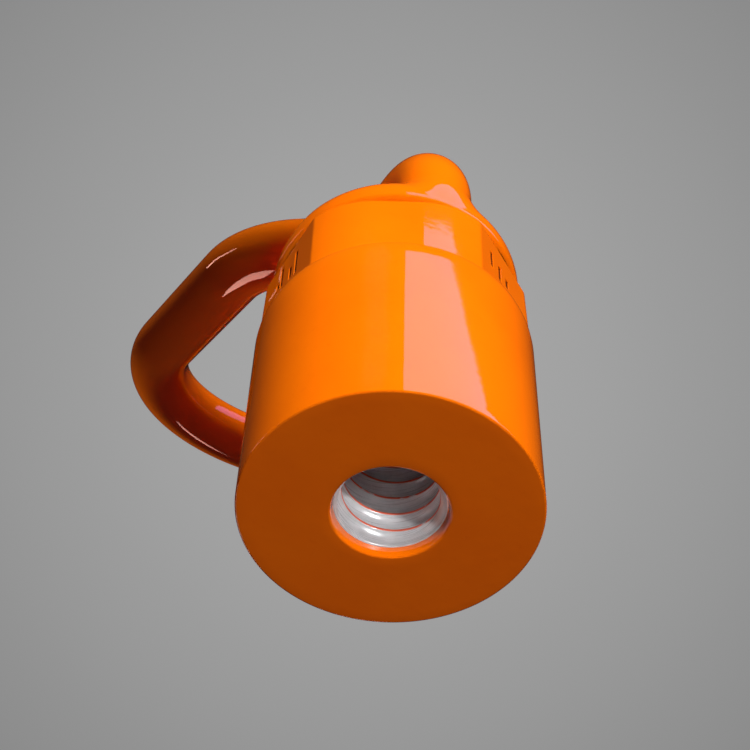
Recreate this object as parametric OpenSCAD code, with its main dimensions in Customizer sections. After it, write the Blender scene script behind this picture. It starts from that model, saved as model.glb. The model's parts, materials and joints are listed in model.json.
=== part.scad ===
// Ball-bearing swivel lifting point with a female thread and a pear-shaped load link.
// The housing screws onto a threaded stud or anchor. The eye turns in it on a thrust
// bearing, and the load link tilts in the eye. Millimetres, +Z up along the thread axis,
// origin at the centre of the housing's flat bottom face.

/* [Housing] */
// Outer diameter of the round housing
body_d = 80; // [78:1:84]
// Total height of the housing
body_h = 93.4; // [92:0.2:94]
// Height at which the six wrench flats begin
flat_z = 67; // [60:1:76]
// Width across the wrench flats
flats_w = 73; // [72:0.5:76]
// Diameter at the housing's top, over the corners between the flats
top_d = 77.2; // [76:0.2:80]
// Rounding of the housing's bottom edge
foot_round = 0.6; // [0.5:0.1:2]

/* [Thread] */
// Bore diameter over the thread crests
crest_d = 25.8; // [24:0.2:27]
// Diameter of the mouth at the bottom face
mouth_d = 30.8; // [30:0.2:32]
// Depth of the tapered mouth below the thread insert
mouth_depth = 3.1; // [2:0.1:4]
// Outer diameter of the thread insert
bush_d = 40; // [38:1:42]
// Diameter of the thread insert's load flange
flange_d = 54; // [52:1:56]

/* [Bearing] */
// Diameter of the bearing chamber and of the gland ring that closes it
chamber_d = 60; // [58:0.5:61]
// Diameter of the eye's spindle
spindle_d = 24; // [23:0.5:25]
// Diameter of the circle that the ball centres lie on
ball_circle_d = 36; // [35:0.5:37]
// Diameter of each ball
ball_d = 7.8; // [7:0.2:8]
// Number of balls
ball_count = 12; // [8:1:12]

/* [Eye] */
// Turn of the eye about the vertical axis
eye_turn = 24; // [0:1:90]
// Diameter of the eye's round head
head_d = 74; // [72:1:76]
// Height of the head's top
head_top = 110.5; // [109:0.5:110.5]
// Diameter of the bar that forms the eye's arch
arch_bar_d = 22.8; // [21:0.2:23]
// Radius of the arch, to the middle of its bar
arch_r = 26.4; // [26:0.2:28]
// Height of the arch's centre
arch_z = 111.6; // [111:0.2:112.4]

/* [Load link] */
// Diameter of the link's round bar
link_bar_d = 20.7; // [18:0.1:20.7]
// Length of the link, between the bar centres of its two ends
link_len = 148; // [140:0.5:160]
// Bar-centre radius of the end inside the eye
near_r = 42.7; // [42:0.1:44]
// Bar-centre radius of the loaded end
far_r = 48.3; // [46:0.1:50]
// Angle of the link above the horizontal, resting on the head
link_rise = 24.6; // [24.6:0.2:40]

/* [Hidden] */
$fn = 96;

orange = [1.0, 0.42, 0.02];
steel = [0.62, 0.63, 0.65];
bronze = [0.72, 0.52, 0.28];
black = [0.12, 0.12, 0.12];

over = 0.5;                        // how far a cutting tool runs past what it cuts
body_r = body_d / 2;
chamber_r = chamber_d / 2;
spindle_r = spindle_d / 2;
bush_r = bush_d / 2;
flange_r = flange_d / 2;

// Heights, from the bottom face upwards
flange_z = 33;                     // underside of the insert's load flange
chamber_z = 41;                    // chamber floor, level with the insert's top
disc_t = 3;                        // thickness of the closing disc
snap_t = 1.6;                      // thickness of the snap ring above it
nut_z = 49.5;                      // underside of the spindle nut
nut_h = 12;
shim_t = 1;
race_t = 4;                        // thickness of each bearing race
shim_z = nut_z + nut_h;
lower_race_z = shim_z + shim_t;
ball_z = 70.4;                     // height of the ball centres
upper_race_z = 2 * ball_z - lower_race_z - race_t;
gland_z = upper_race_z + race_t;
gland_top = body_h - 1;
head_z = body_h + 1.2;             // underside of the turning head

// Bearing
race_inner_r = spindle_r + 0.5;
race_outer_r = 24;
groove_r = ball_d / 2 + 0.3;
ball_r = ball_d / 2;
cage_t = 3;
pocket_gap = 0.1;

// Gland, seals and washers
bore_gap = 0.05;                   // running clearance on the spindle
liner_r = spindle_r + 2.5;         // outer radius of the bronze bush
lip_z = gland_z + 1.5;             // underside of the spindle seal
lip_h = 3;
lip_r = spindle_r + 4;
liner_z = lip_z + lip_h + 0.5;
washer_r = 21;
washer_gap = 0.15;
washer_z = gland_top - 0.8;
seal_r0 = 23.5;
seal_r1 = 27;
seal_z = gland_top - 2;

// Pins and screws
lock_pin_r = 2;
pin_depth = 8;                     // how far the pins go below the load flange
lock_pin_circle = (bush_r + flange_r) / 2;
set_screw_r = 2.5;
set_screw_len = 9;
cross_pin_r = 2.5;
nut_r = 22;
nut_flats = 38;

// Eye
head_r = head_d / 2;
head_round = 12;
head_edge = 2;
trough_r = 24;
trough_floor = 101.4;
arch_bar_r = arch_bar_d / 2;
leg_z = 106.4;                     // height at which each leg's rounded end begins

// Link
link_bar_r = link_bar_d / 2;
pivot_z = 112.1;                   // height of the link's tilt axis
centre_gap = link_len - near_r - far_r;
flare = asin((far_r - near_r) / centre_gap);
side_len = sqrt(pow(centre_gap, 2) - pow(far_r - near_r, 2));
side_lap = 0.3;
side_extra = 0.03;
land_w = 6;                        // width of the round land that the link turns on in the eye
land_extra = 0.12;

// A tube or disc between two radii, from height z up
module ring(r0, r1, z, h) {
    translate([0, 0, z]) difference() {
        cylinder(r = r1, h = h);
        translate([0, 0, -over]) cylinder(r = r0, h = h + 2 * over);
    }
}

// Copies of a shape placed at a radius, evenly around the axis
module around(count, r, first = 0) {
    for (i = [0 : count - 1]) rotate([0, 0, first + i * 360 / count]) translate([r, 0, 0]) children();
}

// Solid of revolution with a rounded lower edge
module round_foot(r, h, edge) {
    rotate_extrude() {
        square([r - edge, h]);
        translate([0, edge]) square([r, h - edge]);
        translate([r - edge, edge]) circle(r = edge);
    }
}

module lock_pin_set(extra = 0) {
    around(3, lock_pin_circle, 30) translate([0, 0, flange_z - pin_depth])
        cylinder(r = lock_pin_r, h = chamber_z - flange_z + pin_depth + extra);
}

module set_screw_set(extra = 0) {
    around(3, chamber_r, 30) translate([0, 0, gland_top - set_screw_len])
        cylinder(r = set_screw_r, h = set_screw_len + extra);
}

module body_housing() {
    color(orange) difference() {
        intersection() {
            round_foot(body_r, body_h, foot_round);
            union() {
                cylinder(r = body_r + over, h = flat_z);
                intersection() {
                    cylinder(r = flats_w / 2 / cos(30), h = body_h, $fn = 6);
                    translate([0, 0, flat_z]) cylinder(r1 = body_r, r2 = top_d / 2, h = body_h - flat_z);
                }
            }
        }
        translate([0, 0, -0.001]) cylinder(r1 = mouth_d / 2, r2 = mouth_d / 2 - 0.6, h = mouth_depth + 0.002);
        translate([0, 0, mouth_depth]) cylinder(r = bush_r, h = flange_z);
        translate([0, 0, flange_z]) cylinder(r = flange_r, h = chamber_z);
        translate([0, 0, chamber_z]) cylinder(r = chamber_r, h = body_h);
        ring(chamber_r - over, chamber_r + 1.2, chamber_z + disc_t, snap_t);
        lock_pin_set();
        set_screw_set(3);
    }
}

module thread_bush() {
    color(steel) difference() {
        union() {
            translate([0, 0, mouth_depth]) cylinder(r = bush_r, h = chamber_z - mouth_depth);
            translate([0, 0, flange_z]) cylinder(r = flange_r, h = chamber_z - flange_z);
        }
        cylinder(r = crest_d / 2, h = chamber_z + over);
        lock_pin_set(over);
    }
}

module bush_lock_pins() {
    color(steel) lock_pin_set();
}

module closing_disc() {
    color(steel) translate([0, 0, chamber_z]) cylinder(r = chamber_r - 0.1, h = disc_t);
}

module disc_snap_ring() {
    color(steel) difference() {
        ring(chamber_r - 3, chamber_r + 1.1, chamber_z + disc_t, snap_t);
        translate([0, -4, chamber_z]) cube([body_r, 8, 2 * disc_t]);
    }
}

module gland_ring() {
    color(steel) difference() {
        translate([0, 0, gland_z]) cylinder(r = chamber_r, h = gland_top - gland_z);
        cylinder(r = liner_r, h = body_h);
        translate([0, 0, lip_z]) cylinder(r = lip_r, h = lip_h);
        translate([0, 0, washer_z]) cylinder(r = washer_r + 0.2, h = 3);
        ring(seal_r0, seal_r1, seal_z, 4);
        set_screw_set(3);
    }
}

module gland_set_screws() {
    color(steel) difference() {
        set_screw_set();
        around(3, chamber_r, 30) translate([0, 0, gland_top - 2.5]) cylinder(r = 1.4, h = 3, $fn = 6);
    }
}

module spindle_bush() {
    color(bronze) ring(spindle_r + bore_gap, liner_r, liner_z, washer_z - liner_z);
}

module spindle_seal() {
    color(black) ring(spindle_r + bore_gap, lip_r, lip_z, lip_h);
}

module wear_washer() {
    color(bronze) ring(spindle_r + 0.3, washer_r, washer_z, head_z - washer_gap - washer_z);
}

module dust_seal() {
    color(black) ring(seal_r0, seal_r1, seal_z, head_z - washer_gap - seal_z);
}

// One race: a flat ring with the ball groove turned into the face towards the balls
module race(z) {
    difference() {
        ring(race_inner_r, race_outer_r, z, race_t);
        translate([0, 0, ball_z]) rotate_extrude() translate([ball_circle_d / 2, 0]) circle(r = groove_r);
    }
}

module bearing_upper_race() {
    color(steel) race(upper_race_z);
}

module bearing_lower_race() {
    color(steel) race(lower_race_z);
}

module bearing_balls() {
    color(steel) around(ball_count, ball_circle_d / 2) translate([0, 0, ball_z]) sphere(r = ball_r);
}

module bearing_cage() {
    color(bronze) difference() {
        ring(race_inner_r + 0.9, race_outer_r - 1.2, ball_z - cage_t / 2, cage_t);
        around(ball_count, ball_circle_d / 2) translate([0, 0, ball_z - cage_t])
            cylinder(r = ball_r + pocket_gap, h = 2 * cage_t);
    }
}

module bearing_shim() {
    color(steel) ring(race_inner_r, race_outer_r - 1.5, shim_z, shim_t);
}

module spindle_nut() {
    color(steel) difference() {
        intersection() {
            translate([0, 0, nut_z]) cylinder(r = nut_r, h = nut_h);
            translate([-nut_flats / 2, -nut_r, nut_z]) cube([nut_flats, 2 * nut_r, nut_h]);
        }
        translate([0, 0, nut_z - over]) cylinder(r = spindle_r, h = nut_h + 2 * over);
        cross_pin(nut_r + over);
    }
}

module cross_pin(half_len) {
    translate([-half_len, 0, nut_z + nut_h / 2]) rotate([0, 90, 0]) cylinder(r = cross_pin_r, h = 2 * half_len);
}

module nut_cross_pin() {
    color(steel) cross_pin(nut_flats / 2 - 0.5);
}

// Half outline of the head: small rounding below, large rounded shoulder above
module head_outline() {
    head_h = head_top - head_z;
    intersection() {
        union() {
            square([head_r - head_round, head_h]);
            square([head_r - head_edge, head_h - head_round]);
            translate([0, head_edge]) square([head_r, head_h - head_round - head_edge]);
            translate([head_r - head_edge, head_edge]) circle(r = head_edge);
            translate([head_r - head_round, head_h - head_round]) circle(r = head_round);
        }
        square([head_r, head_h]);
    }
}

// Round head, cut across by the trough that the link lies in
module eye_head() {
    difference() {
        translate([0, 0, head_z]) rotate_extrude() head_outline();
        translate([-head_d, 0, trough_floor + trough_r]) rotate([0, 90, 0])
            cylinder(r = trough_r, h = 2 * head_d);
    }
}

// Upright leg of the arch, with a rounded lower end that swells out of the head
module arch_leg() {
    translate([0, 0, leg_z]) rotate_extrude() intersection() {
        union() {
            circle(r = arch_bar_r);
            square([arch_bar_r, arch_z - leg_z]);
        }
        translate([0, -arch_bar_r]) square([arch_bar_r, arch_bar_r + arch_z - leg_z]);
    }
}

// Half ring on two straight legs, standing across the head along Y
module eye_arch() {
    translate([0, 0, arch_z]) rotate([90, 0, 90]) rotate_extrude(angle = 180)
        translate([arch_r, 0]) circle(r = arch_bar_r);
    for (side = [-1, 1]) translate([0, side * arch_r, 0]) arch_leg();
}

module swivel_eye() {
    color(orange) rotate([0, 0, eye_turn]) union() {
        eye_head();
        eye_arch();
        rotate([0, 0, -eye_turn]) difference() {
            translate([0, 0, nut_z - 1.5]) cylinder(r = spindle_r, h = head_z - nut_z + 3);
            cross_pin(spindle_r + over);
        }
    }
}

// One straight side of the link, a trace thicker than the rounded ends it runs into
module side_bar() {
    translate([near_r * cos(flare), near_r * (1 - sin(flare)), 0]) rotate([0, 0, -flare])
        translate([0, -side_lap, 0]) rotate([-90, 0, 0])
            cylinder(r = link_bar_r + side_extra, h = side_len + 2 * side_lap);
}

// Closed link in its own plane: bar centre line from the origin along +Y, width along X
module link_shape() {
    translate([0, near_r, 0]) rotate([0, 0, 180 + flare]) rotate_extrude(angle = 180 - 2 * flare)
        translate([near_r, 0]) circle(r = link_bar_r);
    translate([0, link_len - far_r, 0]) rotate([0, 0, -flare]) rotate_extrude(angle = 180 + 2 * flare)
        translate([far_r, 0]) circle(r = link_bar_r);
    side_bar();
    mirror([1, 0, 0]) side_bar();
    translate([-land_w / 2, 0, 0]) rotate([0, 90, 0]) cylinder(r = link_bar_r + land_extra, h = land_w);
}

module load_link() {
    color(orange) rotate([0, 0, eye_turn]) translate([0, 0, pivot_z]) rotate([link_rise, 0, 0]) link_shape();
}

body_housing();
thread_bush();
bush_lock_pins();
closing_disc();
disc_snap_ring();
gland_ring();
gland_set_screws();
spindle_bush();
spindle_seal();
wear_washer();
dust_seal();
bearing_upper_race();
bearing_balls();
bearing_cage();
bearing_lower_race();
bearing_shim();
spindle_nut();
nut_cross_pin();
swivel_eye();
load_link();
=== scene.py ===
import json
import math

import bpy
import numpy as np
from mathutils import Matrix, Vector


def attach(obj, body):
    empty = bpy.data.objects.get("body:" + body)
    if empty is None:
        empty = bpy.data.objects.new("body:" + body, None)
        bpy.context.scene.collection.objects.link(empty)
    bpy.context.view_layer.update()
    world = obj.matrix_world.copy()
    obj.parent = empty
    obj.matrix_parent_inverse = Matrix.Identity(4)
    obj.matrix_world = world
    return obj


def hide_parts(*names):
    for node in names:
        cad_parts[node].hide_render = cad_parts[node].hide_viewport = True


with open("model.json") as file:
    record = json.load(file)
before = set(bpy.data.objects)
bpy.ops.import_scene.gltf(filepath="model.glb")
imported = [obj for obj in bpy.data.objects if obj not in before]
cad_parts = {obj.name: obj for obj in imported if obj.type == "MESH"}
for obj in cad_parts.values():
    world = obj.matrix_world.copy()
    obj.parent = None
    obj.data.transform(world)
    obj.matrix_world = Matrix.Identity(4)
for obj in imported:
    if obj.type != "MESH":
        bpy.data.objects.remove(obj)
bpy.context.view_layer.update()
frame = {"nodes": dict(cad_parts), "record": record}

MM = 0.001

# ---------------------------------------------------------------- sizes, millimetres
BODY_R = 40.0
BODY_H = 93.4
FLAT_Z = 67.0
FLAT_HALF, SIDE_HALF = 36.5, 36.0
# plane half-width of the front flat, and the radius of the arc beside it
ROLL_X, ROLL_R = 6.0, 30.0
# radius over the corners between the flats, at their foot and at the top
UPPER_R, TOP_R = 39.3, 38.7
# where the round part's top edge starts to fall away, and its radius
EDGE_Z, EDGE_ROUND = 62.8, 14.0
FOOT_ROUND = 0.6
TOP_ROUND = 1.0
MOUTH_R0, MOUTH_R1, MOUTH_H = 15.4, 14.8, 3.1
BUSH_R, FLANGE_R, CHAMBER_R = 20.0, 27.0, 30.0
FLANGE_Z, CHAMBER_Z = 33.0, 41.0
GROOVE_R, GROOVE_Z0, GROOVE_Z1 = 31.2, 44.0, 45.6
PIN_R, PIN_CIRCLE, PIN_Z = 2.0, 23.5, 25.0
SCREW_R, SCREW_Z = 2.5, 83.4

CREST_R, ROOT_R, PITCH = 12.9, 14.6, 6.4
GROOVE_HALF = 2.85
CREST_PHASE = 1.35 - PITCH * 87.0 / 360.0

EYE_TURN = math.radians(24.0)
HEAD_R, HEAD_Z, HEAD_TOP = 37.0, 94.6, 110.5
HEAD_ROUND, HEAD_EDGE = 12.0, 2.0
TROUGH_R, TROUGH_Z = 24.0, 125.4
ARCH_BAR, ARCH_R, ARCH_Z, LEG_Z = 11.4, 26.4, 111.6, 106.4
SPINDLE_R, SPINDLE_Z = 12.0, 48.0
CROSS_PIN_R, CROSS_PIN_Z = 2.5, 55.5

LINK_BAR, LINK_LEN, NEAR_R, FAR_R = 10.35, 148.0, 42.7, 48.3
LINK_RISE = math.radians(24.6)
PIVOT_Z = 112.1
LAND_HALF, LAND_EXTRA = 3.0, 0.12


# ---------------------------------------------------------------- node material kit
class Mat:
    """Short-hand for building one node material."""

    def __init__(self, name):
        self.mat = bpy.data.materials.new(name)
        self.mat.use_nodes = True
        self.nt = self.mat.node_tree
        self.bsdf = self.nt.nodes["Principled BSDF"]
        self.co = self.node("ShaderNodeTexCoord").outputs["Object"]

    def node(self, kind, **props):
        n = self.nt.nodes.new(kind)
        for k, v in props.items():
            setattr(n, k, v)
        return n

    def link(self, a, b):
        self.nt.links.new(a, b)

    def put(self, socket, value):
        if isinstance(value, bpy.types.NodeSocket):
            self.link(value, socket)
        elif value is not None:
            socket.default_value = value

    def math(self, op, a, b=None, c=None):
        n = self.node("ShaderNodeMath", operation=op)
        for i, v in enumerate((a, b, c)):
            self.put(n.inputs[i], v) if v is not None else None
        return n.outputs[0]

    def noise(self, scale, detail=3.0, rough=0.55, vector=None, distortion=0.0):
        n = self.node("ShaderNodeTexNoise")
        self.put(n.inputs["Vector"], vector or self.co)
        n.inputs["Scale"].default_value = scale
        n.inputs["Detail"].default_value = detail
        n.inputs["Roughness"].default_value = rough
        n.inputs["Distortion"].default_value = distortion
        return n.outputs["Fac"]

    def stretch(self, sx, sy, sz):
        n = self.node("ShaderNodeMapping")
        self.link(self.co, n.inputs["Vector"])
        n.inputs["Scale"].default_value = (sx, sy, sz)
        return n.outputs["Vector"]

    def ramp(self, fac, stops):
        n = self.node("ShaderNodeValToRGB")
        self.put(n.inputs[0], fac)
        el = n.color_ramp.elements
        while len(el) < len(stops):
            el.new(0.5)
        for e, (pos, col) in zip(el, stops):
            e.position = pos
            e.color = (*col, 1.0) if len(col) == 3 else col
        return n.outputs["Color"]

    def remap(self, fac, lo, hi, to_lo=0.0, to_hi=1.0):
        n = self.node("ShaderNodeMapRange")
        self.put(n.inputs[0], fac)
        for i, v in enumerate((lo, hi, to_lo, to_hi)):
            n.inputs[i + 1].default_value = v
        return n.outputs[0]

    def mix(self, fac, a, b):
        n = self.node("ShaderNodeMix", data_type="RGBA")
        self.put(n.inputs[0], fac)
        self.put(n.inputs[6], a if isinstance(a, bpy.types.NodeSocket) else (*a, 1.0))
        self.put(n.inputs[7], b if isinstance(b, bpy.types.NodeSocket) else (*b, 1.0))
        return n.outputs[2]

    def radius(self):
        """Distance from the thread axis, in metres."""
        sep = self.node("ShaderNodeSeparateXYZ")
        self.link(self.co, sep.inputs[0])
        sq = self.math("ADD", self.math("MULTIPLY", sep.outputs[0], sep.outputs[0]),
                       self.math("MULTIPLY", sep.outputs[1], sep.outputs[1]))
        return self.math("SQRT", sq), sep.outputs[2]

    def along(self, direction):
        """Distance from the origin along a fixed direction, in metres."""
        n = self.node("ShaderNodeVectorMath", operation="DOT_PRODUCT")
        self.link(self.co, n.inputs[0])
        n.inputs[1].default_value = direction
        return n.outputs["Value"]

    def pointiness(self):
        return self.node("ShaderNodeNewGeometry").outputs["Pointiness"]

    def bump(self, layers):
        """layers: (height socket, strength, distance in metres), chained one onto the next."""
        normal = None
        for height, strength, distance in layers:
            n = self.node("ShaderNodeBump")
            n.inputs["Strength"].default_value = strength
            n.inputs["Distance"].default_value = distance
            self.link(height, n.inputs["Height"])
            if normal is not None:
                self.link(normal, n.inputs["Normal"])
            normal = n.outputs["Normal"]
        return normal

    def surface(self, **values):
        for k, v in values.items():
            self.put(self.bsdf.inputs[k.replace("_", " ")], v)
        return self.mat


# punched bars on two of the flats: azimuth of the flat, then (across, bottom, height) of each bar
MARKS = {
    -150.0: ((4.7, 76.4, 11.2), (1.3, 77.9, 5.5), (-4.1, 80.2, 9.2), (-6.2, 81.2, 2.7)),
    -30.0: ((-7.8, 77.8, 7.3), (-2.8, 77.2, 6.8), (1.8, 79.0, 4.1)),
}
MARK_WIDE = 1.5
MARK_FLOOR = 35.45                    # distance of the pockets' floors from the axis


def orange_paint():
    """Glossy enamel over a shot-blasted forging, with painted shade darkening the punched marks."""
    m = Mat("orange_paint")
    broad = m.noise(28.0, 3.0)
    fine = m.noise(420.0, 2.0)
    tone = m.ramp(broad, [(0.25, (0.95, 0.160, 0.0004)), (0.55, (1.0, 0.180, 0.0005)),
                          (0.85, (1.0, 0.192, 0.0007))])
    tone = m.mix(m.remap(fine, 0.62, 0.80, 0.0, 0.20), tone, (0.86, 0.125, 0.0004))
    # thin film on sharp edges
    edge = m.remap(m.pointiness(), 0.53, 0.62)
    worn = m.math("MULTIPLY", edge, m.remap(m.noise(160.0, 4.0), 0.58, 0.70))
    tone = m.mix(m.math("MULTIPLY", worn, 0.55), tone, (0.42, 0.060, 0.004))
    # painted shade: a mask of the punched pockets, to be tinted near-black in place of the shade inside
    # them
    painted_pocket_shade = None
    for azimuth in MARKS:
        a = math.radians(azimuth)
        out = m.along((math.cos(a), math.sin(a), 0.0))
        side = m.math("ABSOLUTE", m.along((-math.sin(a), math.cos(a), 0.0)))
        pocket_shade_here = m.math("MULTIPLY", m.remap(out, (SIDE_HALF - 0.12) * MM, (SIDE_HALF - 0.3) * MM),
                     m.math("LESS_THAN", side, 14.0 * MM))
        pocket_shade_here = m.math("MULTIPLY", pocket_shade_here, m.math("GREATER_THAN", out, (MARK_FLOOR - 0.4) * MM))
        pocket_shade_here = m.math("MULTIPLY", pocket_shade_here, m.math("GREATER_THAN", m.along((0, 0, 1.0)), (FLAT_Z + 8.0) * MM))
        pocket_shade_here = m.math("MULTIPLY", pocket_shade_here, m.math("LESS_THAN", m.along((0, 0, 1.0)), (FLAT_Z + 24.0) * MM))
        painted_pocket_shade = pocket_shade_here if painted_pocket_shade is None else m.math("MAXIMUM", painted_pocket_shade, pocket_shade_here)
    # painted shade: the pockets' paint is mixed towards near-black to stand in for their shade
    tone = m.mix(m.math("MULTIPLY", painted_pocket_shade, 0.85), tone, (0.05, 0.008, 0.006))
    rough = m.remap(m.noise(75.0, 4.0), 0.3, 0.7, 0.50, 0.62)
    peel = m.noise(520.0, 1.0, 0.4)
    cast = m.noise(90.0, 3.0, 0.6)
    return m.surface(
        Base_Color=tone, Roughness=rough, Specular_IOR_Level=0.0,
        Coat_Weight=1.0, Coat_Roughness=0.035, Coat_IOR=1.5,
        Coat_Normal=m.bump([(cast, 0.05, 0.0004), (peel, 0.03, 0.0001)]),
        Normal=m.bump([(cast, 0.10, 0.0008), (peel, 0.05, 0.0002)]))


def thread_steel():
    """Machined knuckle thread: turning marks, a trace of paint on the crests."""
    m = Mat("thread_steel")
    r, z = m.radius()
    marks = m.noise(1.0, 2.0, 0.5, vector=m.stretch(60.0, 60.0, 5200.0))
    cloud = m.noise(240.0, 4.0)
    tone = m.ramp(cloud, [(0.25, (0.62, 0.63, 0.65)), (0.6, (0.76, 0.77, 0.79)),
                          (0.9, (0.86, 0.87, 0.89))])
    crest = m.remap(r, 0.01306, 0.01296)
    patchy = m.math("MULTIPLY", crest, m.remap(m.noise(300.0, 2.0), 0.30, 0.42))
    tone = m.mix(m.math("MULTIPLY", patchy, 0.9), tone, (0.90, 0.10, 0.01))
    rough = m.remap(marks, 0.3, 0.7, 0.24, 0.36)
    metal = m.math("SUBTRACT", 0.25, m.math("MULTIPLY", patchy, 0.2))
    return m.surface(Base_Color=tone, Roughness=rough, Metallic=metal, Specular_IOR_Level=0.6,
                     Normal=m.bump([(marks, 0.20, 0.00008), (cloud, 0.10, 0.0002)]))


def hard_steel():
    """Ground and hardened bearing steel."""
    m = Mat("hard_steel")
    grind = m.noise(1.0, 2.0, 0.5, vector=m.stretch(2600.0, 220.0, 220.0))
    cloud = m.noise(130.0, 4.0)
    tone = m.ramp(cloud, [(0.3, (0.36, 0.37, 0.39)), (0.7, (0.58, 0.59, 0.61))])
    return m.surface(Base_Color=tone, Metallic=1.0, Roughness=m.remap(grind, 0.3, 0.7, 0.18, 0.36),
                     Normal=m.bump([(grind, 0.15, 0.00006)]))


def bronze():
    m = Mat("bronze")
    turn = m.noise(1.0, 2.0, 0.5, vector=m.stretch(160.0, 160.0, 3600.0))
    cloud = m.noise(90.0, 5.0)
    tone = m.ramp(cloud, [(0.25, (0.30, 0.16, 0.055)), (0.6, (0.50, 0.29, 0.11)),
                          (0.9, (0.60, 0.38, 0.16))])
    return m.surface(Base_Color=tone, Metallic=1.0, Roughness=m.remap(turn, 0.3, 0.7, 0.26, 0.44),
                     Normal=m.bump([(turn, 0.18, 0.00008)]))


def rubber():
    m = Mat("rubber")
    grain = m.noise(1800.0, 3.0)
    bloom = m.noise(70.0, 4.0)
    tone = m.ramp(bloom, [(0.3, (0.010, 0.010, 0.011)), (0.8, (0.030, 0.029, 0.028))])
    return m.surface(Base_Color=tone, Roughness=m.remap(grain, 0.3, 0.7, 0.55, 0.78),
                     Normal=m.bump([(grain, 0.25, 0.00012)]))


MATERIALS = {
    "orange_paint": orange_paint(),
    "thread_steel": thread_steel(),
    "hard_steel": hard_steel(),
    "bronze": bronze(),
    "rubber": rubber(),
}


# ---------------------------------------------------------------- mesh kit
def make_piece(name, verts, faces, slot, body, *nodes):
    """A smooth-shaded mesh from millimetre vertices, riding on a CAD body in place of nodes."""
    mesh = bpy.data.meshes.new(name)
    mesh.from_pydata((np.asarray(verts) * MM).tolist(), [], [list(map(int, f)) for f in faces])
    mesh.validate()
    mesh.polygons.foreach_set("use_smooth", np.ones(len(mesh.polygons), bool))
    mesh.materials.append(MATERIALS[slot])
    mesh.update()
    obj = bpy.data.objects.new(name, mesh)
    bpy.context.scene.collection.objects.link(obj)
    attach(obj, body)
    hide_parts(*nodes)
    return obj


def grid_faces(rows, cols):
    """Quads of a grid that closes on itself both ways, row-major."""
    i, j = np.meshgrid(np.arange(rows), np.arange(cols), indexing="ij")
    i2, j2 = (i + 1) % rows, (j + 1) % cols
    return np.stack([i * cols + j, i * cols + j2, i2 * cols + j2, i2 * cols + j], -1).reshape(-1, 4)


def arc(cx, cz, r, a0, a1, n):
    a = np.radians(np.linspace(a0, a1, n))
    return [(cx + r * math.cos(t), cz + r * math.sin(t)) for t in a]


def line(p, q, n):
    return [(p[0] + (q[0] - p[0]) * t, p[1] + (q[1] - p[1]) * t) for t in np.linspace(0, 1, n)]


def cut_holes(obj, holes, boxes=()):
    """Cuts in a piece, in millimetres. holes: (x, y, radius, z0, z1), round and along Z.
    boxes: (azimuth, middle across, bottom, width, height, floor), pockets sunk in a wall."""
    tools = []
    for azimuth, mid, z0, w, h, floor in boxes:
        a = math.radians(azimuth)
        o, t = np.array((math.cos(a), math.sin(a), 0)), np.array((-math.sin(a), math.cos(a), 0))
        verts = [o * d + t * (mid + s * w / 2) + np.array((0, 0, z0 + k * h))
                 for d in (floor, BODY_R + 2) for s in (-1, 1) for k in (0, 1)]
        faces = [(0, 1, 3, 2), (4, 6, 7, 5), (0, 4, 5, 1), (2, 3, 7, 6), (0, 2, 6, 4), (1, 5, 7, 3)]
        mesh = bpy.data.meshes.new("cutter")
        mesh.from_pydata((np.array(verts) * MM).tolist(), [], faces)
        tool = bpy.data.objects.new("cutter", mesh)
        bpy.context.scene.collection.objects.link(tool)
        tools.append(tool)
        mod = obj.modifiers.new("pocket", "BOOLEAN")
        mod.operation, mod.solver, mod.object = "DIFFERENCE", "MANIFOLD", tool
    for x, y, r, z0, z1 in holes:
        n = 48
        a = np.linspace(0, 2 * math.pi, n, endpoint=False)
        ring = np.stack([x + r * np.cos(a), y + r * np.sin(a)], -1)
        verts = [(*p, z0) for p in ring] + [(*p, z1) for p in ring]
        faces = [list(range(n))[::-1], list(range(n, 2 * n))]
        faces += [[i, (i + 1) % n, n + (i + 1) % n, n + i] for i in range(n)]
        mesh = bpy.data.meshes.new("cutter")
        mesh.from_pydata((np.array(verts) * MM).tolist(), [], faces)
        tool = bpy.data.objects.new("cutter", mesh)
        bpy.context.scene.collection.objects.link(tool)
        tools.append(tool)
        mod = obj.modifiers.new("hole", "BOOLEAN")
        mod.operation, mod.solver, mod.object = "DIFFERENCE", "MANIFOLD", tool
    dg = bpy.context.evaluated_depsgraph_get()
    mesh = bpy.data.meshes.new_from_object(obj.evaluated_get(dg))
    obj.modifiers.clear()
    old, obj.data = obj.data, mesh
    mesh.name = old.name
    for tool in tools:
        bpy.data.objects.remove(tool)
    return obj


# ---------------------------------------------------------------- housing
COLS = 600
theta = np.linspace(0, 2 * math.pi, COLS, endpoint=False)


def wrench_outline(th):
    """Radius of the wrench hexagon at an angle. The front and back flats roll off into an arc on
    each side, and the four side flats are plane and a little deeper."""
    side = np.degrees(th) % 60.0                               # side flats face 30 degrees off the X axis
    side = SIDE_HALF / np.cos(np.radians(side - 30.0))
    c, s = np.abs(np.cos(th)), np.maximum(np.abs(np.sin(th)), 1e-6)
    flat = FLAT_HALF / s
    mid = FLAT_HALF - ROLL_R                                   # centre of the arc, ROLL_X off the middle
    b = c * ROLL_X + s * mid
    roll = b + np.sqrt(np.maximum(b * b - ROLL_X ** 2 - mid ** 2 + ROLL_R ** 2, 0))
    front = np.where(flat * c < ROLL_X, flat, roll)
    past_corner = np.where(s < math.cos(math.radians(30.0)) + 1e-9, side, front)
    near_front = s > math.cos(math.radians(50.0))
    return np.where(near_front, np.minimum(front, past_corner), side)


def soft_min(a, b, k):
    h = np.clip(0.5 + 0.5 * (b - a) / k, 0, 1)
    return b * (1 - h) + a * h - k * h * (1 - h)


def soft_max(a, b, k):
    return -soft_min(-a, -b, k)


def flat_share(z):
    """0 below the wrench flats, 1 above them, with a rounded foot to the step."""
    t = np.clip((z - (FLAT_Z - 0.35)) / 0.9, 0, 1)
    return t * t * (3 - 2 * t)


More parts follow.
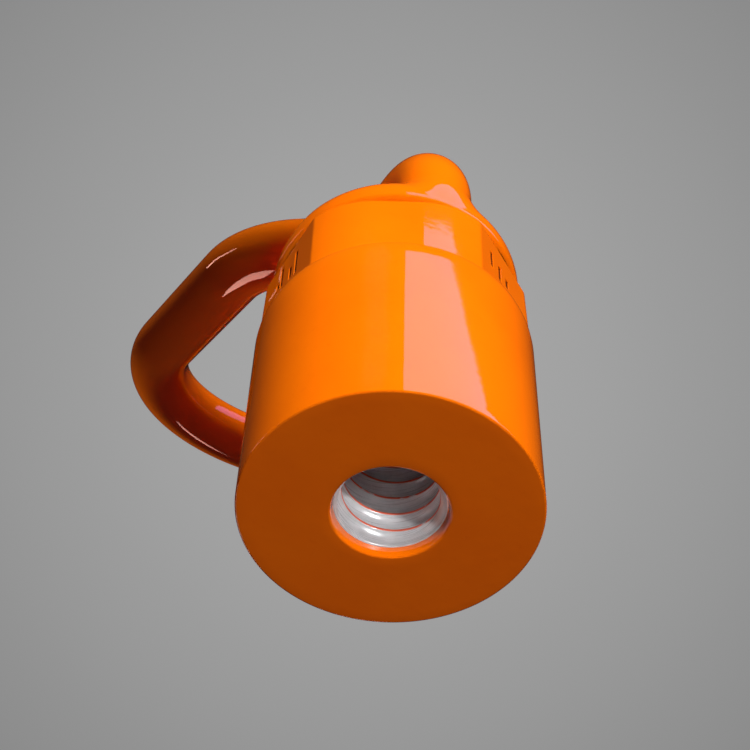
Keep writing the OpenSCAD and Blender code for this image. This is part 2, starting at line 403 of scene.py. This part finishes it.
profile = []                                     # (radius, height, outer wall?)
profile += [(*p, 0) for p in arc(MOUTH_R0 + 0.7, 0.7, 0.7, 195, 270, 7)]
profile += [(*p, 0) for p in line((19.0, 0), (36.5, 0), 8)]
profile += [(*p, 1) for p in arc(BODY_R - FOOT_ROUND, FOOT_ROUND, FOOT_ROUND, 270, 360, 12)]
heights = np.concatenate([np.linspace(2.5, FLAT_Z - 2.0, 40), np.linspace(FLAT_Z - 1.5, FLAT_Z + 1.5, 31),
                          np.linspace(FLAT_Z + 2.5, BODY_H - TOP_ROUND - 0.8, 18)])
profile += [(BODY_R, z, 1) for z in heights]
profile += [(*p, 1) for p in arc(BODY_R - TOP_ROUND, BODY_H - TOP_ROUND, TOP_ROUND, 0, 90, 10)]
profile += [(*p, 0) for p in line((36.0, BODY_H), (CHAMBER_R + 0.3, BODY_H), 5)]
profile += [(CHAMBER_R, BODY_H - 0.3, 0), (CHAMBER_R, 70.0, 0), (CHAMBER_R, GROOVE_Z1, 0),
            (GROOVE_R, GROOVE_Z1, 0), (GROOVE_R, GROOVE_Z0, 0), (CHAMBER_R, GROOVE_Z0, 0),
            (CHAMBER_R, CHAMBER_Z, 0), (FLANGE_R, CHAMBER_Z, 0),
            (FLANGE_R, FLANGE_Z, 0), (BUSH_R, FLANGE_Z, 0), (BUSH_R, 18.0, 0), (BUSH_R, MOUTH_H, 0),
            (MOUTH_R1, MOUTH_H, 0)]
prof = np.array(profile)
rows = len(prof)
radius = np.repeat(prof[:, :1], COLS, 1)
height = np.repeat(prof[:, 1:2], COLS, 1)
outer = prof[:, 2] > 0.5
# the wall follows the hexagon above the step; the edge roundings keep their inset
share = flat_share(prof[:, 1])[:, None]
taper = (UPPER_R - TOP_R) * np.clip((prof[:, 1:2] - FLAT_Z) / (BODY_H - FLAT_Z), 0, 1)
hexed = soft_min(UPPER_R - taper + 0 * theta[None, :], wrench_outline(theta)[None, :], 0.3)
lower = BODY_R - np.clip(prof[:, 1:2] - EDGE_Z, 0, FLAT_Z - EDGE_Z) ** 2 / (2 * EDGE_ROUND)
inset = BODY_R - prof[:, :1]
radius = np.where(outer[:, None], lower + (hexed - lower) * share - inset, radius)
verts = np.stack([radius * np.cos(theta), radius * np.sin(theta), height], -1).reshape(-1, 3)
housing = make_piece("housing_casting", verts, grid_faces(rows, COLS)[:, ::-1], "orange_paint", "housing",
                     "body_housing")
spots = [math.radians(30 + 120 * k) for k in range(3)]
cut_holes(housing,
          [(PIN_CIRCLE * math.cos(a), PIN_CIRCLE * math.sin(a), PIN_R, PIN_Z, FLANGE_Z + 1)
           for a in spots]
          + [(CHAMBER_R * math.cos(a), CHAMBER_R * math.sin(a), SCREW_R, SCREW_Z, BODY_H + 2)
             for a in spots],
          [(azimuth, mid, z0, MARK_WIDE, tall, MARK_FLOOR)
           for azimuth, bars in MARKS.items() for mid, z0, tall in bars])

# ---------------------------------------------------------------- threaded insert
BCOLS = 360
bt = np.linspace(0, 2 * math.pi, BCOLS, endpoint=False)
bore_z = np.arange(MOUTH_H, CHAMBER_Z + 1e-6, (CHAMBER_Z - MOUTH_H) / 210)
ball = (GROOVE_HALF ** 2 + (ROOT_R - CREST_R) ** 2) / (2 * (ROOT_R - CREST_R))


def thread_radius(th, z):
    """Knuckle thread: a round-bottomed groove winding up to the right, narrow crests between turns."""
    s = (z - CREST_PHASE - PITCH * np.degrees(th) / 360.0) % PITCH
    off = np.abs(s - PITCH / 2)
    groove = ROOT_R - ball + np.sqrt(np.maximum(ball ** 2 - np.minimum(off, ball) ** 2, 0))
    r = soft_max(groove, np.full_like(groove, CREST_R), 0.25)
    lead = ROOT_R + 0.1 - (z - MOUTH_H) * 1.1    # chamfer at the way in
    return soft_max(r, lead, 0.2)


zz, tt = np.meshgrid(bore_z, bt, indexing="ij")
bore_r = thread_radius(tt, zz)
wall = [(FLANGE_R - 0.4, CHAMBER_Z), (FLANGE_R, CHAMBER_Z - 0.4), (FLANGE_R, FLANGE_Z + 0.4),
        (FLANGE_R - 0.4, FLANGE_Z), (BUSH_R, FLANGE_Z), (BUSH_R, 18.0), (BUSH_R, MOUTH_H)]
wall_r = np.array([w[0] for w in wall])[:, None] + 0 * bt[None, :]
wall_z = np.array([w[1] for w in wall])[:, None] + 0 * bt[None, :]
rr, zz = np.concatenate([bore_r, wall_r]), np.concatenate([zz, wall_z])
verts = np.stack([rr * np.cos(bt), rr * np.sin(bt), zz], -1).reshape(-1, 3)
insert = make_piece("threaded_insert", verts, grid_faces(len(rr), BCOLS), "thread_steel", "housing",
                    "thread_bush")
cut_holes(insert, [(PIN_CIRCLE * math.cos(a), PIN_CIRCLE * math.sin(a), PIN_R, FLANGE_Z - 2, CHAMBER_Z + 1)
                   for a in spots])


# ---------------------------------------------------------------- swivel eye
def smin(a, b, k):
    h = np.maximum(k - np.abs(a - b), 0) / k
    return np.minimum(a, b) - h * h * k / 4


def smax(a, b, k):
    return -smin(-a, -b, k)


def corner(qx, qz, r):
    """Signed distance to a quarter plane with its corner rounded, corner centre at the origin."""
    return np.hypot(np.maximum(qx, 0), np.maximum(qz, 0)) + np.minimum(np.maximum(qx, qz), 0) - r


def eye_sdf(p):
    u, v, z = p[:, 0], p[:, 1], p[:, 2]
    rho = np.hypot(u, v)
    head = np.maximum(corner(rho - (HEAD_R - HEAD_ROUND), z - (HEAD_TOP - HEAD_ROUND), HEAD_ROUND),
                      corner(rho - (HEAD_R - HEAD_EDGE), HEAD_Z + HEAD_EDGE - z, HEAD_EDGE))
    head = smax(head, TROUGH_R - np.hypot(v, z - TROUGH_Z), 3.0)
    bow = np.hypot(np.hypot(v, np.maximum(z - ARCH_Z, 0)) - ARCH_R, u)
    leg = np.sqrt((np.abs(v) - ARCH_R) ** 2 + u ** 2 + np.minimum(z - LEG_Z, 0) ** 2)
    arch = np.where(z > ARCH_Z, bow, leg) - ARCH_BAR
    body = smin(head, arch, 3.5)
    spindle = corner(rho - (SPINDLE_R - 1.0), SPINDLE_Z + 1.0 - z, 1.0)
    spindle = np.maximum(spindle, z - (HEAD_Z + 3.0))
    spindle = np.maximum(spindle, CROSS_PIN_R - np.hypot(
        v * math.cos(EYE_TURN) + u * math.sin(EYE_TURN), z - CROSS_PIN_Z))
    return np.minimum(body, spindle)


def surface_nets(sdf, lo, hi, step):
    """Quad mesh of the zero level of sdf, its vertices pulled onto the surface."""
    n = [int(math.ceil((b - a) / step)) + 1 for a, b in zip(lo, hi)]
    axes = [a + step * np.arange(c) for a, c in zip(lo, n)]
    pts = np.stack(np.meshgrid(*axes, indexing="ij"), -1).reshape(-1, 3)
    d = sdf(pts).reshape(n)
    inside = d < 0
    cells = tuple(c - 1 for c in n)
    total = np.zeros((*cells, 3))
    count = np.zeros(cells)
    for axis in range(3):
        a, b = [[slice(None)] * 3 for _ in range(2)]
        a[axis], b[axis] = slice(0, -1), slice(1, None)
        da, db = d[tuple(a)], d[tuple(b)]
        crossing = (da < 0) != (db < 0)
        t = np.where(crossing, da / np.where(crossing, da - db, 1), 0)
        others = [k for k in range(3) if k != axis]
        for s0 in (0, 1):
            for s1 in (0, 1):
                sl = [slice(None)] * 3
                sl[others[0]] = slice(s0, s0 + cells[others[0]])
                sl[others[1]] = slice(s1, s1 + cells[others[1]])
                c, tt_ = crossing[tuple(sl)], t[tuple(sl)]
                total[..., axis] += np.where(c, tt_, 0)
                total[..., others[0]] += np.where(c, s0, 0)
                total[..., others[1]] += np.where(c, s1, 0)
                count += c
    used = count > 0
    index = np.full(cells, -1)
    index[used] = np.arange(used.sum())
    where = np.argwhere(used)
    verts = np.array(lo) + step * (where + total[used] / count[used][:, None])
    e = 1e-3
    for _ in range(4):
        g = np.stack([(sdf(verts + e * np.eye(3)[k]) - sdf(verts - e * np.eye(3)[k])) / (2 * e)
                      for k in range(3)], -1)
        move = sdf(verts)[:, None] * g / np.maximum((g * g).sum(1, keepdims=True), 1e-6)
        verts = verts - np.clip(move, -0.3 * step, 0.3 * step)
    quads = []
    for axis in range(3):
        others = [(axis + 1) % 3, (axis + 2) % 3]
        a, b = [[slice(None)] * 3 for _ in range(2)]
        a[axis], b[axis] = slice(0, -1), slice(1, None)
        for sl in (a, b):
            for k in others:
                sl[k] = slice(1, -1)
        ia, ib = inside[tuple(a)], inside[tuple(b)]
        ijk = np.argwhere(ia != ib)
        flip = ia[tuple(ijk.T)]
        ijk[:, others[0]] += 1
        ijk[:, others[1]] += 1
        corners = []
        for s0, s1 in ((0, 0), (1, 0), (1, 1), (0, 1)):
            c = ijk.copy()
            c[:, others[0]] -= 1 - s0
            c[:, others[1]] -= 1 - s1
            corners.append(index[tuple(c.T)])
        q = np.stack(corners, -1)
        quads.append(np.where(flip[:, None], q, q[:, ::-1]))
    return verts, np.concatenate(quads)


STEP = 0.62
local, faces = surface_nets(eye_sdf, (-38.6, -41.2, 46.9), (38.6, 41.2, 152.4), STEP)
ct, st = math.cos(EYE_TURN), math.sin(EYE_TURN)
verts = np.stack([local[:, 0] * ct - local[:, 1] * st, local[:, 0] * st + local[:, 1] * ct,
                  local[:, 2]], -1)
eye = make_piece("eye_forging", verts, faces, "orange_paint", "eye", "swivel_eye")

# ---------------------------------------------------------------- load link
flare = math.asin((FAR_R - NEAR_R) / (LINK_LEN - NEAR_R - FAR_R))
side_len = math.sqrt((LINK_LEN - NEAR_R - FAR_R) ** 2 - (FAR_R - NEAR_R) ** 2)
path, normals = [], []
for a in np.linspace(-math.pi / 2, -flare, 90, endpoint=False):
    path.append((NEAR_R * math.cos(a), NEAR_R + NEAR_R * math.sin(a)))
    normals.append(a)
p0 = np.array([NEAR_R * math.cos(-flare), NEAR_R + NEAR_R * math.sin(-flare)])
p1 = np.array([FAR_R * math.cos(-flare), LINK_LEN - FAR_R + FAR_R * math.sin(-flare)])
for t in np.linspace(0, 1, 60, endpoint=False):
    path.append(tuple(p0 + (p1 - p0) * t))
    normals.append(-flare)
for a in np.linspace(-flare, math.pi / 2, 100):
    path.append((FAR_R * math.cos(a), LINK_LEN - FAR_R + FAR_R * math.sin(a)))
    normals.append(a)
half = np.array(path)
ang = np.array(normals)
full = np.concatenate([half, (half * [-1, 1])[-2:0:-1]])
angs = np.concatenate([ang, (math.pi - ang)[-2:0:-1]])
RING = 72
phi = np.linspace(0, 2 * math.pi, RING, endpoint=False)
run = np.abs(full[:, 0])
land = LAND_EXTRA * np.clip((LAND_HALF + 0.3 - run) / 0.6, 0, 1) * (full[:, 1] < NEAR_R)
bar = (LINK_BAR + land)[:, None]
out = np.stack([np.cos(angs), np.sin(angs)], -1)
lx = full[:, :1] + bar * np.cos(phi) * out[:, :1]
ly = full[:, 1:] + bar * np.cos(phi) * out[:, 1:]
lz = bar * np.sin(phi) + 0 * lx
# tilt about the link's own axis, then turn with the eye
ty = ly * math.cos(LINK_RISE) - lz * math.sin(LINK_RISE)
tz = ly * math.sin(LINK_RISE) + lz * math.cos(LINK_RISE) + PIVOT_Z
verts = np.stack([lx * ct - ty * st, lx * st + ty * ct, tz], -1).reshape(-1, 3)
make_piece("pear_link", verts, grid_faces(len(full), RING)[:, ::-1], "orange_paint", "link", "load_link")

# ---------------------------------------------------------------- CAD nodes that stay
SLOT_OF = {part["node"]: part["material_slot"] for part in frame["record"]["subparts"]}
for name, obj in frame["nodes"].items():
    obj.data.materials.clear()
    obj.data.materials.append(MATERIALS[SLOT_OF[name]])

# ---------------------------------------------------------------- camera
# seen from in front and well below, close up, with the object standing on its base
CAM_PLACE = (0.0, -0.28965232, -0.31885436)
CAM_AIM = (-0.005288336, -0.0000966, 0.058047109)
CAM_ROLL = 2.19236                    # degrees
LENS, SENSOR = 80.407, 36.0

cam_data = bpy.data.cameras.new("camera")
cam = bpy.data.objects.new("camera", cam_data)
bpy.context.scene.collection.objects.link(cam)
cam_data.lens = LENS
cam_data.sensor_width = SENSOR
cam_data.clip_start = 0.01
cam.location = CAM_PLACE
aim = Vector(CAM_AIM)
look = (aim - cam.location).to_track_quat("-Z", "Y")
cam.rotation_mode = "QUATERNION"
cam.rotation_quaternion = look @ Matrix.Rotation(math.radians(CAM_ROLL), 3, "Z").to_quaternion()
bpy.context.scene.camera = cam


# ---------------------------------------------------------------- light
def area(name, azimuth, elevation, distance, size_x, size_y, strength, target=(0, 0, 0.06)):
    """Rectangular panel; azimuth is measured from +X towards +Y."""
    data = bpy.data.lights.new(name, "AREA")
    data.shape = "RECTANGLE"
    data.size, data.size_y = size_x, size_y
    data.energy = strength * size_x * size_y
    obj = bpy.data.objects.new(name, data)
    a, e = math.radians(azimuth), math.radians(elevation)
    back = Vector((math.cos(a) * math.cos(e), math.sin(a) * math.cos(e), math.sin(e)))
    obj.location = Vector(target) + back * distance
    obj.rotation_mode = "QUATERNION"
    obj.rotation_quaternion = back.to_track_quat("Z", "Y")
    bpy.context.scene.collection.objects.link(obj)
    return obj


UNIT = math.pi ** 2                   # watts per metre squared of distance for one unit of light


def lamp(name, azimuth, elevation, distance, wide, tall, level, gloss=True):
    """A panel giving level units of light at the object; wide and tall are angles in degrees."""
    w = 2 * distance * math.tan(math.radians(wide / 2))
    h = 2 * distance * math.tan(math.radians(tall / 2))
    obj = area(name, azimuth, elevation, distance, w, h, level * UNIT * distance ** 2 / (w * h))
    obj.visible_glossy = gloss
    return obj


lamp("key_left", -105.0, 50.0, 1.2, 12.0, 12.0, 0.52, gloss=False)
lamp("key_right", -45.0, 50.0, 1.2, 12.0, 12.0, 0.52, gloss=False)
lamp("low_front", -57.0, -38.0, 1.2, 9.0, 9.0, 0.10, gloss=False)


def only_on(light, name, *pieces):
    """Keeps a lamp's light on some pieces; the others still throw their shadows."""
    lit = bpy.data.collections.new(name)
    for piece in pieces:
        lit.objects.link(piece)
    light.light_linking.receiver_collection = lit


only_on(lamp("front_light", -72.0, -15.0, 1.2, 5.0, 5.0, 1.0, gloss=False),
        "front_lit", housing, eye)
only_on(lamp("bore_light", -62.0, -31.0, 1.2, 3.0, 3.0, 0.55), "bore_lit", insert)
only_on(lamp("bore_fill", -85.0, -42.0, 1.2, 24.0, 24.0, 0.13, gloss=False),
        "bore_filled", insert)
lamp("back_panel", 119.0, 25.0, 1.2, 12.0, 12.0, 0.9, gloss=False)


def glow(name, corners, colour, distance=12.0, target=(0, 0, 0.06)):
    """A bright card that only shows in reflections.
    corners: (azimuth, elevation) as seen from the object."""
    middle = tuple(sum(c[k] for c in corners) / len(corners) for k in (0, 1))
    verts = []
    for azimuth, elevation in (middle, *corners):
        a, e = math.radians(azimuth), math.radians(elevation)
        verts.append(Vector(target) + distance * Vector(
            (math.cos(a) * math.cos(e), math.sin(a) * math.cos(e), math.sin(e))))
    count = len(corners)
    mesh = bpy.data.meshes.new(name)
    mesh.from_pydata(verts, [], [(0, 1 + k, 1 + (k + 1) % count) for k in range(count)])
    mat = bpy.data.materials.new(name)
    mat.use_nodes = True
    mat.node_tree.nodes.clear()
    emit = mat.node_tree.nodes.new("ShaderNodeEmission")
    emit.inputs["Color"].default_value = (*colour, 1.0)
    emit.inputs["Strength"].default_value = 1.0
    out = mat.node_tree.nodes.new("ShaderNodeOutputMaterial")
    mat.node_tree.links.new(emit.outputs[0], out.inputs[0])
    mesh.materials.append(mat)
    obj = bpy.data.objects.new(name, mesh)
    bpy.context.scene.collection.objects.link(obj)
    for ray in ("visible_camera", "visible_shadow", "visible_diffuse", "visible_transmission"):
        setattr(obj, ray, False)
    return obj


CARD_COLOUR = (2.4, 1.0, 2.5)
STREAK_COLOUR = (8.0, 3.6, 2.8)
CARD_LEFT, CARD_RIGHT, CARD_FOOT = -82.5, -4.0, 25.0
# the card's top edge: azimuths, then elevations; it drops away to the right
CARD_TOP = ((-82.5, -60.0, -50.0, -44.0, -38.8, -35.4, -31.5, -27.7, -21.2, -15.7, -8.0, -4.0),
            (57.5, 57.5, 57.3, 56.4, 55.5, 55.0, 54.2, 53.4, 52.3, 51.3, 49.0, 45.0))
sweep = np.linspace(CARD_LEFT, CARD_RIGHT, 54)
glow("front_card", [(float(a), float(np.interp(a, *CARD_TOP))) for a in sweep]
     + [(float(a), CARD_FOOT) for a in sweep[::-1]], CARD_COLOUR)
# three narrow cards behind the object, for the streaks on the link
glow("side_card", [(164, 30), (175, 28.6), (181.5, 24.4), (188, 22), (194.5, 20.2),
                   (194.5, 17.8), (188, 18.8), (181.5, 20.8), (175, 25.4), (166, 26.2)], STREAK_COLOUR)
glow("back_card", [(115, -9), (121.5, -13), (129.6, -19.8), (137.4, -27.1), (140, -33.8),
                   (136, -37), (126, -30), (117.8, -22), (117.8, -18.2), (113.5, -12.2)], STREAK_COLOUR)
glow("low_card", [(89.5, -19), (94, -19), (99, -30), (93, -31), (90.5, -25)], STREAK_COLOUR)

# ---------------------------------------------------------------- surroundings
# backdrop seen by the camera: pale grey, a touch lighter behind the object
BACKDROP = ((0.0, 0.245), (0.952, 0.257), (0.968, 0.290), (0.985, 0.333), (1.0, 0.385))
# what reflections see: dim from below, nearly dark from above
MIRRORED = ((0.0, 0.035), (0.6, 0.01))
SOFT_FILL, SOFT_LEVEL = (1.0, 0.30, 0.18, 1.0), 0.05


def grey(v):
    return (v, v, v, 1.0)


def grey_ramp(tree, fac, stops):
    """A ramp of greys over a node output."""
    n = tree.nodes.new("ShaderNodeValToRGB")
    tree.links.new(fac, n.inputs[0])
    ends = n.color_ramp.elements
    ends[0].position, ends[0].color = stops[0][0], grey(stops[0][1])
    ends[1].position, ends[1].color = stops[-1][0], grey(stops[-1][1])
    for place, tone in stops[1:-1]:
        ends.new(place).color = grey(tone)
    return n.outputs[0]


world = bpy.data.worlds.new("studio")
bpy.context.scene.world = world
world.use_nodes = True
wt = world.node_tree
wt.nodes.clear()
w_out = wt.nodes.new("ShaderNodeOutputWorld")
w_path = wt.nodes.new("ShaderNodeLightPath")
w_co = wt.nodes.new("ShaderNodeTexCoord")
w_seen = wt.nodes.new("ShaderNodeBackground")
w_fill = wt.nodes.new("ShaderNodeBackground")
w_soft = wt.nodes.new("ShaderNodeBackground")
w_soft.inputs[0].default_value = SOFT_FILL
w_soft.inputs[1].default_value = SOFT_LEVEL
w_kind = wt.nodes.new("ShaderNodeMixShader")
wt.links.new(w_path.outputs["Is Glossy Ray"], w_kind.inputs[0])
wt.links.new(w_soft.outputs[0], w_kind.inputs[1])
wt.links.new(w_fill.outputs[0], w_kind.inputs[2])
w_mix = wt.nodes.new("ShaderNodeMixShader")
wt.links.new(w_path.outputs["Is Camera Ray"], w_mix.inputs[0])
wt.links.new(w_kind.outputs[0], w_mix.inputs[1])
wt.links.new(w_seen.outputs[0], w_mix.inputs[2])
wt.links.new(w_mix.outputs[0], w_out.inputs[0])
w_dot = wt.nodes.new("ShaderNodeVectorMath")
w_dot.operation = "DOT_PRODUCT"
w_dot.inputs[1].default_value = tuple((aim - cam.location).normalized())
wt.links.new(w_co.outputs["Generated"], w_dot.inputs[0])
wt.links.new(grey_ramp(wt, w_dot.outputs["Value"], BACKDROP), w_seen.inputs[0])
w_seen.inputs[1].default_value = 1.0
w_sep = wt.nodes.new("ShaderNodeSeparateXYZ")
wt.links.new(w_co.outputs["Generated"], w_sep.inputs[0])
w_map = wt.nodes.new("ShaderNodeMapRange")
for i, v in enumerate((-1.0, 1.0, 0.0, 1.0)):
    w_map.inputs[i + 1].default_value = v
wt.links.new(w_sep.outputs[2], w_map.inputs[0])
wt.links.new(grey_ramp(wt, w_map.outputs[0], MIRRORED), w_fill.inputs[0])
w_fill.inputs[1].default_value = 1.0

# ---------------------------------------------------------------- floor
# pale, seen from above only, and throwing nothing back at the object
FLOOR_HALF, FLOOR_Z = 12.0, -0.0006
floor_mat = bpy.data.materials.new("floor")
floor_mat.use_nodes = True
ft = floor_mat.node_tree
fb = ft.nodes["Principled BSDF"]
fb.inputs["Base Color"].default_value = (0.35, 0.35, 0.35, 1.0)
fb.inputs["Emission Color"].default_value = (0.245, 0.245, 0.245, 1.0)
fb.inputs["Emission Strength"].default_value = 1.0
fb.inputs["Roughness"].default_value = 0.8
fb.inputs["Specular IOR Level"].default_value = 0.0
fg = ft.nodes.new("ShaderNodeNewGeometry")
fm = ft.nodes.new("ShaderNodeMixShader")
fx = ft.nodes.new("ShaderNodeBsdfTransparent")
ft.links.new(fg.outputs["Backfacing"], fm.inputs[0])
ft.links.new(fb.outputs[0], fm.inputs[1])
ft.links.new(fx.outputs[0], fm.inputs[2])
ft.links.new(fm.outputs[0], ft.nodes["Material Output"].inputs[0])
fmesh = bpy.data.meshes.new("floor")
corners = [(x * FLOOR_HALF, y * FLOOR_HALF, FLOOR_Z) for x, y in ((-1, -1), (1, -1), (1, 1), (-1, 1))]
fmesh.from_pydata(corners, [], [(0, 1, 2, 3)])
fmesh.materials.append(floor_mat)
floor = bpy.data.objects.new("floor", fmesh)
bpy.context.scene.collection.objects.link(floor)
for ray in ("visible_shadow", "visible_diffuse", "visible_glossy", "visible_transmission"):
    setattr(floor, ray, False)

bpy.context.scene.view_settings.view_transform = "Standard"
